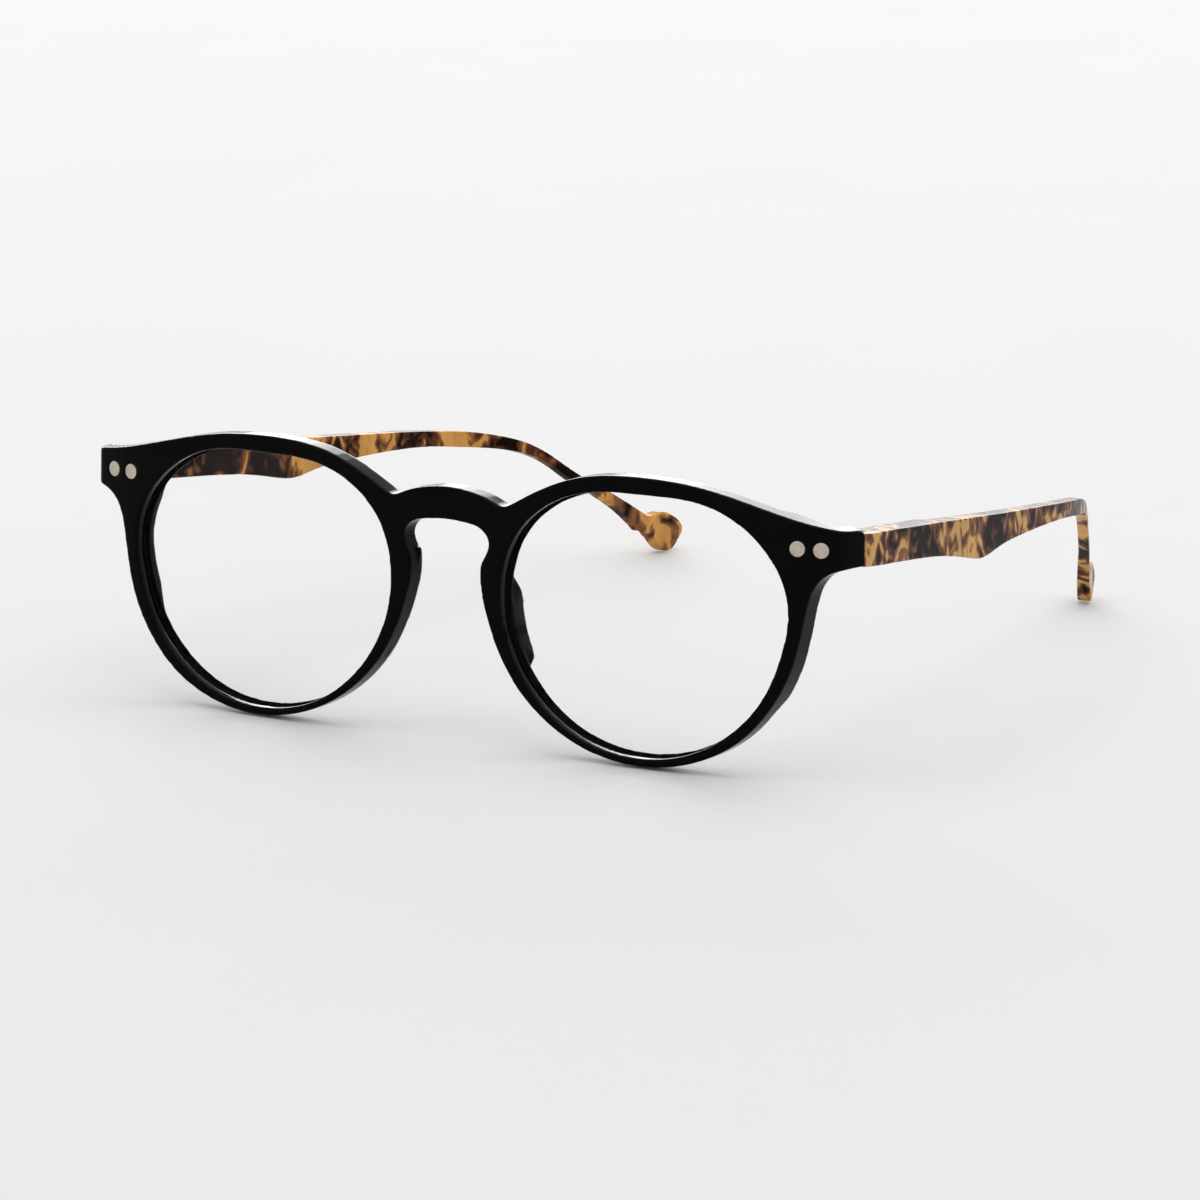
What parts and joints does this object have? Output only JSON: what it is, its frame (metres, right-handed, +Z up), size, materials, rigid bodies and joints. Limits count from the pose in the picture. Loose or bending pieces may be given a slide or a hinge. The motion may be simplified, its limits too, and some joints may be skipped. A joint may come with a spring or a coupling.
{
  "type": "folding reading glasses",
  "caption": "Reading glasses with a black round-lens keyhole front, clear lenses, riveted endpieces and slim tortoiseshell temples that fold in on sprung hinges",
  "frame": {"origin": "on the table, under the middle of the glasses' box, with the temples open and the rims' and temple tips' lowest points touching it", "axes": "+X to the wearer's left, +Y back from the front to the temple tips, +Z up; the front leans 2 degrees back from +Z as the glasses stand"},
  "size_m": [0.1338, 0.1447, 0.0437],
  "materials": {
    "front_plastic": "polished black moulded plastic",
    "tortoise_plastic": "polished translucent tortoiseshell plastic, honey to dark brown",
    "lens": "clear polished lens",
    "rivet_metal": "satin nickel rivet head with a bright bevel",
    "hinge_metal": "satin nickel-silver hinge",
    "screw_metal": "bright screw steel",
    "spring_steel": "spring wire"
  },
  "bodies": {
    "front": {"front_frame": "front_plastic", "left_lens": "lens", "left_inner_rivet": "rivet_metal", "left_outer_rivet": "rivet_metal", "left_front_hinge": "hinge_metal", "left_hinge_screw": "screw_metal", "right_lens": "lens", "right_inner_rivet": "rivet_metal", "right_outer_rivet": "rivet_metal", "right_front_hinge": "hinge_metal", "right_hinge_screw": "screw_metal"},
    "left_hinge_slide": {"left_hinge_slider": "hinge_metal", "left_spring_rod": "screw_metal"},
    "left_temple_arm": {"left_temple": "tortoise_plastic", "left_spring_case": "hinge_metal", "left_spring_stop": "hinge_metal", "left_hinge_spring": "spring_steel"},
    "right_hinge_slide": {"right_hinge_slider": "hinge_metal", "right_spring_rod": "screw_metal"},
    "right_temple_arm": {"right_temple": "tortoise_plastic", "right_spring_case": "hinge_metal", "right_spring_stop": "hinge_metal", "right_hinge_spring": "spring_steel"}
  },
  "joints": [
    {"name": "left_temple_fold", "type": "hinge", "parent": "front", "child": "left_hinge_slide", "pos_m": [0.0629, -0.06206, 0.03514], "axis": [0, 0.0388, 0.9992], "range_deg": [0, 82]},
    {"name": "left_spring_slide", "type": "slide", "parent": "left_hinge_slide", "child": "left_temple_arm", "axis": [-0.0782, 0.989, -0.1256], "range_m": [0, 0.0012], "stiffness_N_per_m": 1500, "springref_m": -0.0004, "deforming": ["left_hinge_spring"]},
    {"name": "right_temple_fold", "type": "hinge", "parent": "front", "child": "right_hinge_slide", "pos_m": [-0.0629, -0.06206, 0.03514], "axis": [0, -0.0388, -0.9992], "range_deg": [0, 72]},
    {"name": "right_spring_slide", "type": "slide", "parent": "right_hinge_slide", "child": "right_temple_arm", "axis": [0.0782, 0.989, -0.1256], "range_m": [0, 0.0012], "stiffness_N_per_m": 1500, "springref_m": -0.0004, "deforming": ["right_hinge_spring"]}
  ]
}
